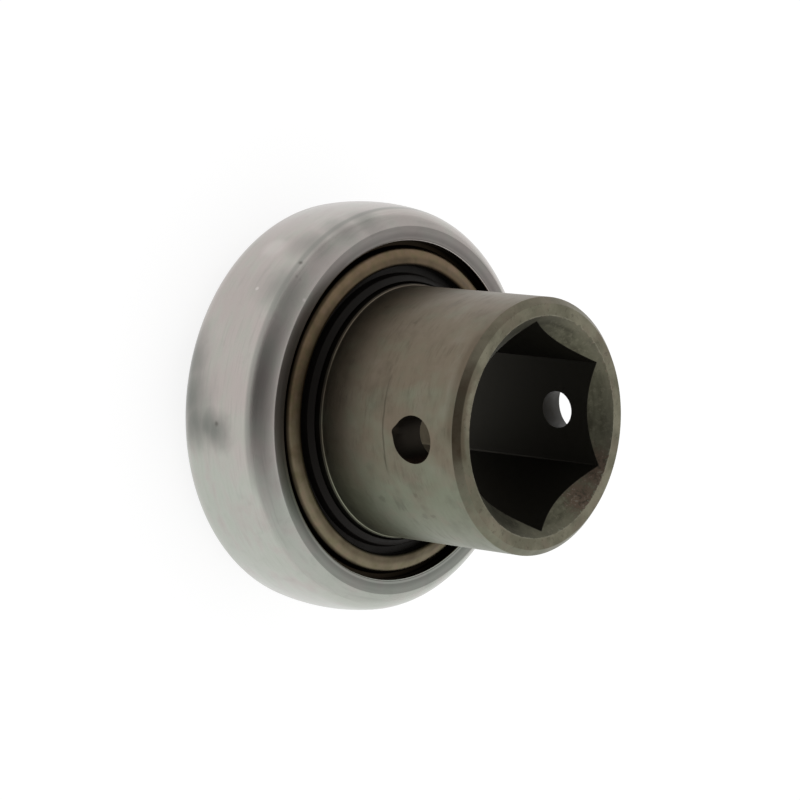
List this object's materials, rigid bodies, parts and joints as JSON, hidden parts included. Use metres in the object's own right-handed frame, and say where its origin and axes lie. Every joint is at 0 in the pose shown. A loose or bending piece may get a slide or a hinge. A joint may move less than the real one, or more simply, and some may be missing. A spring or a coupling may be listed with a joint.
{
  "type": "insert bearing",
  "caption": "Sealed insert ball bearing: a ring with a spherical seat, and a hex-bored inner ring that runs out into a long sleeve with a cross hole for a pin.",
  "frame": {"origin": "on the bearing axis, in the short end face of the inner ring that the bearing stands on", "axes": "+Z along the bearing axis towards the sleeve's end; X along the cross hole for the pin"},
  "size_m": [0.052, 0.052, 0.0396],
  "materials": {
    "outer_ring": "ground satin steel",
    "inner_ring": "turned steel, dull and stained",
    "balls": "polished",
    "cage": "pressed sheet",
    "rivets": "formed wire",
    "seal_cap": "bronze-brown plated sheet",
    "seal_lip": "oily black rubber",
    "seal_plate": "stamped sheet"
  },
  "bodies": {
    "outer": {"outer_ring": "outer_ring", "front_seal_cap": "seal_cap", "front_seal_lip": "seal_lip", "front_seal_plate": "seal_plate", "rear_seal_cap": "seal_cap", "rear_seal_lip": "seal_lip", "rear_seal_plate": "seal_plate"},
    "inner": {"inner_ring": "inner_ring"},
    "cage": {"cage_front": "cage", "cage_rear": "cage", "cage_rivet_1": "rivets", "cage_rivet_2": "rivets", "cage_rivet_3": "rivets", "cage_rivet_4": "rivets", "cage_rivet_5": "rivets", "cage_rivet_6": "rivets", "cage_rivet_7": "rivets", "cage_rivet_8": "rivets", "cage_rivet_9": "rivets"},
    "ball_1": {"ball_1": "balls"},
    "ball_2": {"ball_2": "balls"},
    "ball_3": {"ball_3": "balls"},
    "ball_4": {"ball_4": "balls"},
    "ball_5": {"ball_5": "balls"},
    "ball_6": {"ball_6": "balls"},
    "ball_7": {"ball_7": "balls"},
    "ball_8": {"ball_8": "balls"},
    "ball_9": {"ball_9": "balls"}
  },
  "joints": [
    {"name": "inner_spin", "type": "hinge", "parent": "outer", "child": "inner", "pos_m": [0, 0, 0.0091], "axis": [0, 0, 1], "continuous": true},
    {"name": "cage_spin", "type": "hinge", "parent": "outer", "child": "cage", "pos_m": [0, 0, 0.0091], "axis": [0, 0, 1], "continuous": true},
    {"name": "ball_1_roll", "type": "hinge", "parent": "cage", "child": "ball_1", "pos_m": [0.01925, 0, 0.0091], "axis": [0, 0, 1], "continuous": true},
    {"name": "ball_2_roll", "type": "hinge", "parent": "cage", "child": "ball_2", "pos_m": [0.01475, 0.01237, 0.0091], "axis": [0, 0, 1], "continuous": true},
    {"name": "ball_3_roll", "type": "hinge", "parent": "cage", "child": "ball_3", "pos_m": [0.00334, 0.01896, 0.0091], "axis": [0, 0, 1], "continuous": true},
    {"name": "ball_4_roll", "type": "hinge", "parent": "cage", "child": "ball_4", "pos_m": [-0.00962, 0.01667, 0.0091], "axis": [0, 0, 1], "continuous": true},
    {"name": "ball_5_roll", "type": "hinge", "parent": "cage", "child": "ball_5", "pos_m": [-0.01809, 0.00658, 0.0091], "axis": [0, 0, 1], "continuous": true},
    {"name": "ball_6_roll", "type": "hinge", "parent": "cage", "child": "ball_6", "pos_m": [-0.01809, -0.00658, 0.0091], "axis": [0, 0, 1], "continuous": true},
    {"name": "ball_7_roll", "type": "hinge", "parent": "cage", "child": "ball_7", "pos_m": [-0.00962, -0.01667, 0.0091], "axis": [0, 0, 1], "continuous": true},
    {"name": "ball_8_roll", "type": "hinge", "parent": "cage", "child": "ball_8", "pos_m": [0.00334, -0.01896, 0.0091], "axis": [0, 0, 1], "continuous": true},
    {"name": "ball_9_roll", "type": "hinge", "parent": "cage", "child": "ball_9", "pos_m": [0.01475, -0.01237, 0.0091], "axis": [0, 0, 1], "continuous": true}
  ],
  "couplings": [
    {"joint": "cage_spin", "follows": "inner_spin", "ratio": 0.39691},
    {"joint": "ball_1_roll", "follows": "inner_spin", "ratio": -2.322},
    {"joint": "ball_2_roll", "follows": "inner_spin", "ratio": -2.322},
    {"joint": "ball_3_roll", "follows": "inner_spin", "ratio": -2.322},
    {"joint": "ball_4_roll", "follows": "inner_spin", "ratio": -2.322},
    {"joint": "ball_5_roll", "follows": "inner_spin", "ratio": -2.322},
    {"joint": "ball_6_roll", "follows": "inner_spin", "ratio": -2.322},
    {"joint": "ball_7_roll", "follows": "inner_spin", "ratio": -2.322},
    {"joint": "ball_8_roll", "follows": "inner_spin", "ratio": -2.322},
    {"joint": "ball_9_roll", "follows": "inner_spin", "ratio": -2.322}
  ]
}
